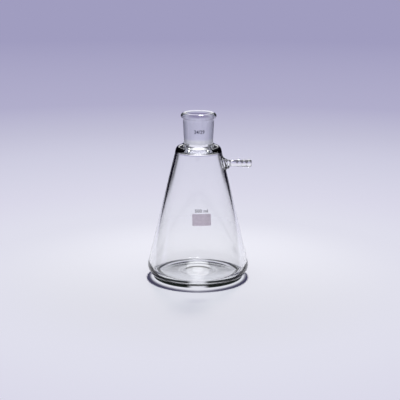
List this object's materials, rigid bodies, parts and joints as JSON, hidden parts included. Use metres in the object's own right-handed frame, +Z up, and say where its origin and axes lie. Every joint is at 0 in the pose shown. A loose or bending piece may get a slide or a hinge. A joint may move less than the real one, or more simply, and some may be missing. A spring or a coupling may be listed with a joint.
{
  "type": "buchner flask",
  "caption": "Heavy-wall conical vacuum filtering flask with a ground-glass neck, a beaded rim and a barbed side arm for a vacuum hose.",
  "frame": {"origin": "centre of the base, on the surface that the flask stands on", "axes": "+Z up along the flask's axis, +X along the side arm, -Y towards the side with the marking spot"},
  "size_m": [0.1072, 0.105, 0.172],
  "materials": {
    "clear_glass": "clear fire-polished borosilicate glass",
    "ground_glass": "frosted ground taper inside a clear rim",
    "enamel": "matt fired enamel"
  },
  "bodies": {
    "root": {"flask_body": "clear_glass", "ground_socket": "ground_glass", "hose_connector": "clear_glass", "marking_spot": "enamel"}
  },
  "joints": []
}
